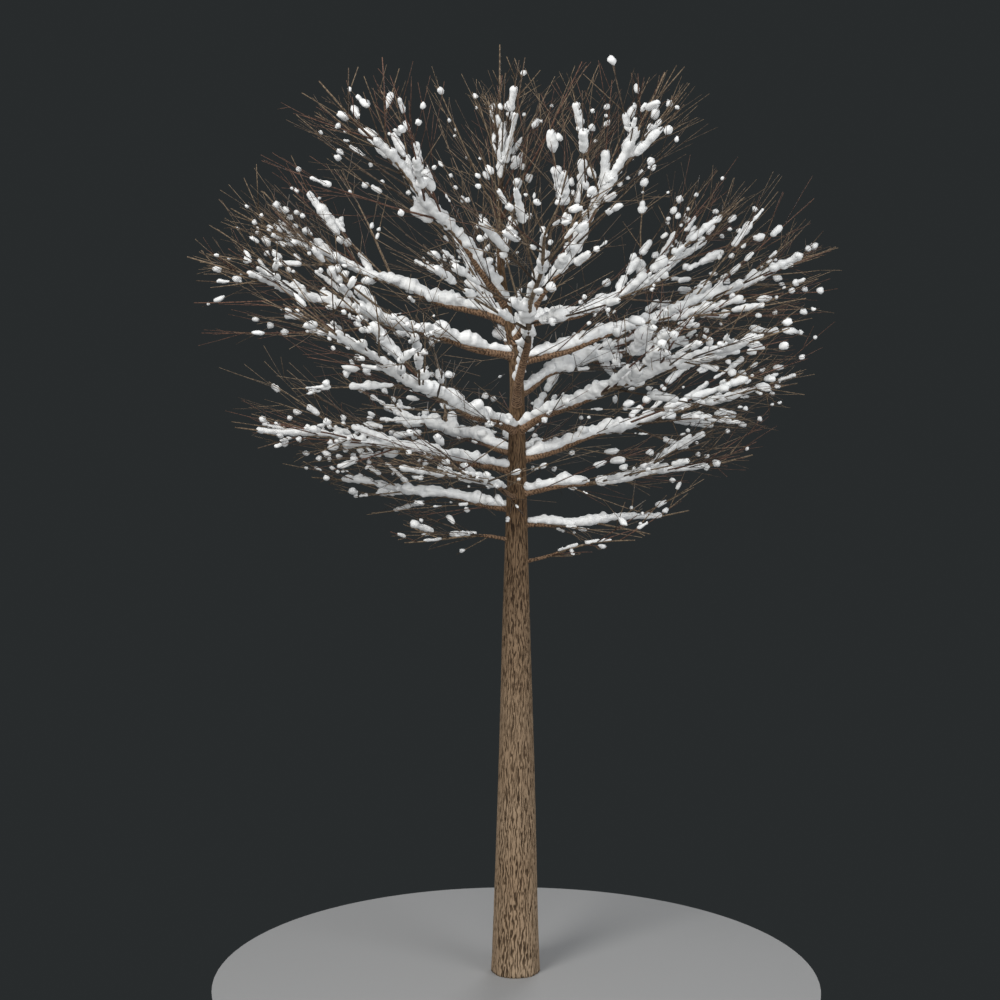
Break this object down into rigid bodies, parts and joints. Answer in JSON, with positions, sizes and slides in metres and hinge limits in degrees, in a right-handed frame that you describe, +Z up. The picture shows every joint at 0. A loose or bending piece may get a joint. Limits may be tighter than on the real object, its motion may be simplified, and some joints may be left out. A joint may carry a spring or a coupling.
{
  "type": "bare winter tree with snow",
  "caption": "Leafless standing tree, tall straight tapering trunk under a wide rounded crown of level and rising boughs and fine twigs, with snow lying along them.",
  "frame": {"origin": "middle of the flat cut under the trunk, at ground level", "axes": "+Z up along the trunk; +X towards the right and +Y away in the front view"},
  "size_m": [6.693, 6.5526, 9.96],
  "materials": {
    "trunk_bark": "matte",
    "bough_bark": "matte",
    "snow": "matte",
    "snowy_twigs": "matte"
  },
  "bodies": {
    "root": {"bough_arm_back_left": "bough_bark", "bough_arm_front_left": "bough_bark", "bough_arm_front_right": "bough_bark", "bough_arm_right": "bough_bark", "bough_crown_back": "bough_bark", "bough_crown_front_left": "bough_bark", "bough_crown_front_right": "bough_bark", "bough_crown_left": "bough_bark", "bough_crown_right": "bough_bark", "bough_fork": "bough_bark", "bough_low_left": "bough_bark", "bough_low_right": "bough_bark", "bough_shelf_back": "bough_bark", "bough_shelf_left": "bough_bark", "bough_shelf_right": "bough_bark", "bough_skirt_front": "bough_bark", "bough_skirt_left": "bough_bark", "bough_skirt_right": "bough_bark", "bough_wide_back_right": "bough_bark", "bough_wide_front_left": "bough_bark", "bough_wide_right": "bough_bark", "snow_arm_back_left": "snow", "snow_arm_front_left": "snow", "snow_arm_front_right": "snow", "snow_arm_right": "snow", "snow_crown_back": "snow", "snow_crown_front_left": "snow", "snow_crown_front_right": "snow", "snow_crown_left": "snow", "snow_crown_right": "snow", "snow_shelf_left": "snow", "snow_shelf_right": "snow", "snow_skirt_left": "snow", "snow_skirt_right": "snow", "snow_wide_back_right": "snow", "snow_wide_front_left": "snow", "snow_wide_right": "snow", "trunk": "trunk_bark", "twigs_arm_back_left": "snowy_twigs", "twigs_arm_front_left": "snowy_twigs", "twigs_arm_front_right": "snowy_twigs", "twigs_arm_right": "snowy_twigs", "twigs_crown_back": "snowy_twigs", "twigs_crown_front_left": "snowy_twigs", "twigs_crown_front_right": "snowy_twigs", "twigs_crown_left": "snowy_twigs", "twigs_crown_right": "snowy_twigs", "twigs_fork": "snowy_twigs", "twigs_low_left": "snowy_twigs", "twigs_low_right": "snowy_twigs", "twigs_shelf_back": "snowy_twigs", "twigs_shelf_left": "snowy_twigs", "twigs_shelf_right": "snowy_twigs", "twigs_skirt_front": "snowy_twigs", "twigs_skirt_left": "snowy_twigs", "twigs_skirt_right": "snowy_twigs", "twigs_top": "snowy_twigs", "twigs_wide_back_right": "snowy_twigs", "twigs_wide_front_left": "snowy_twigs", "twigs_wide_right": "snowy_twigs"}
  },
  "joints": []
}
